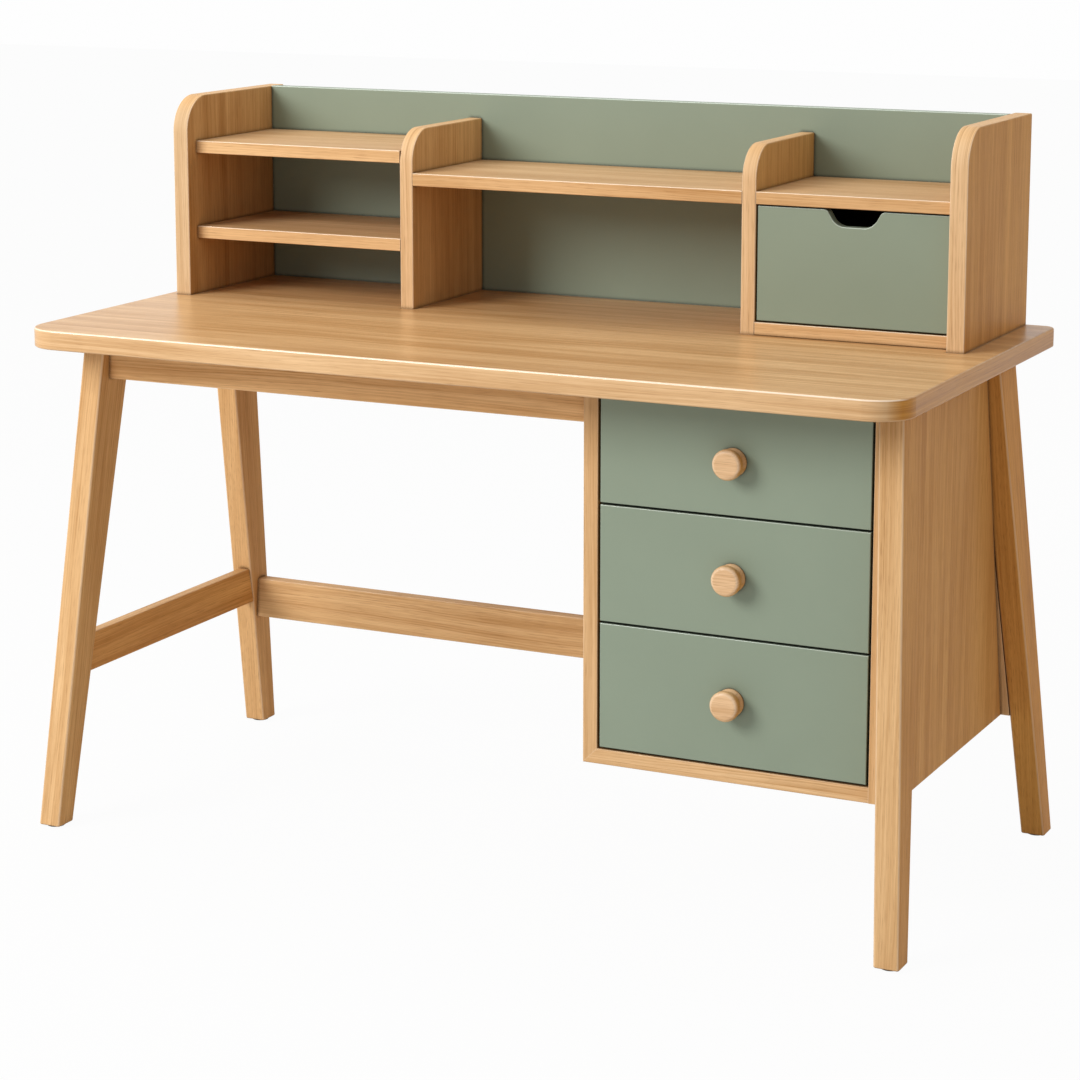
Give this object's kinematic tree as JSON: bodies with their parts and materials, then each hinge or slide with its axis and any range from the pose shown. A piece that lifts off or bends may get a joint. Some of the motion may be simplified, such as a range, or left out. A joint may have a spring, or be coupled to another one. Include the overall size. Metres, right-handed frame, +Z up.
{
  "type": "desk",
  "caption": "Oak writing desk on splayed legs with a drawer case at the right and a hutch of open shelves and one small drawer",
  "frame": {"origin": "on the floor, midway between the desktop's ends and midway between its front and rear edges", "axes": "+X to the side with the drawer case as seen from the front, -Y towards the sitter, +Z up"},
  "size_m": [1.3858, 0.68, 1.0685],
  "materials": {
    "oak": "light honey oak, satin lacquer",
    "sage_paint": "wood board with smooth matt sage-green paint",
    "drawer_wood": "pale unstained birch, thin clear lacquer",
    "screw_steel": "zinc-plated steel",
    "felt": "pressed grey-brown felt"
  },
  "bodies": {
    "desk": {"desktop": "oak", "leg_front_left": "oak", "leg_front_right": "oak", "leg_rear_left": "oak", "leg_rear_right": "oak", "apron_front": "oak", "apron_rear": "oak", "rail_left": "oak", "stretcher_left": "oak", "stretcher_back": "oak", "case_side_left": "oak", "case_side_right": "oak", "case_bottom": "oak", "hutch_side_left": "oak", "hutch_side_right": "oak", "hutch_divider_left": "oak", "hutch_divider_right": "oak", "shelf_left_upper": "oak", "shelf_left_lower": "oak", "shelf_middle": "oak", "shelf_right": "oak", "hutch_drawer_floor": "oak", "hutch_back": "sage_paint", "case_top_rail_front": "drawer_wood", "case_top_rail_rear": "drawer_wood", "case_back": "drawer_wood", "corner_blocks": "drawer_wood", "drawer_runners": "drawer_wood", "top_screws": "screw_steel", "hutch_screws": "screw_steel", "foot_pads": "felt"},
    "drawer_lower": {"drawer_lower_front": "sage_paint", "drawer_lower_side_left": "drawer_wood", "drawer_lower_side_right": "drawer_wood", "drawer_lower_back": "drawer_wood", "drawer_lower_bottom": "drawer_wood", "drawer_lower_knob": "oak", "drawer_lower_knob_screw": "screw_steel"},
    "drawer_middle": {"drawer_middle_front": "sage_paint", "drawer_middle_side_left": "drawer_wood", "drawer_middle_side_right": "drawer_wood", "drawer_middle_back": "drawer_wood", "drawer_middle_bottom": "drawer_wood", "drawer_middle_knob": "oak", "drawer_middle_knob_screw": "screw_steel"},
    "drawer_upper": {"drawer_upper_front": "sage_paint", "drawer_upper_side_left": "drawer_wood", "drawer_upper_side_right": "drawer_wood", "drawer_upper_back": "drawer_wood", "drawer_upper_bottom": "drawer_wood", "drawer_upper_knob": "oak", "drawer_upper_knob_screw": "screw_steel"},
    "hutch_drawer": {"hutch_drawer_front": "sage_paint", "hutch_drawer_side_left": "drawer_wood", "hutch_drawer_side_right": "drawer_wood", "hutch_drawer_back": "drawer_wood", "hutch_drawer_bottom": "drawer_wood"}
  },
  "joints": [
    {"name": "drawer_lower_slide", "type": "slide", "parent": "desk", "child": "drawer_lower", "axis": [0, -1, 0], "range_m": [0, 0.24]},
    {"name": "drawer_middle_slide", "type": "slide", "parent": "desk", "child": "drawer_middle", "axis": [0, -1, 0], "range_m": [0, 0.24]},
    {"name": "drawer_upper_slide", "type": "slide", "parent": "desk", "child": "drawer_upper", "axis": [0, -1, 0], "range_m": [0, 0.24]},
    {"name": "hutch_drawer_slide", "type": "slide", "parent": "desk", "child": "hutch_drawer", "axis": [0, -1, 0], "range_m": [0, 0.15]}
  ]
}
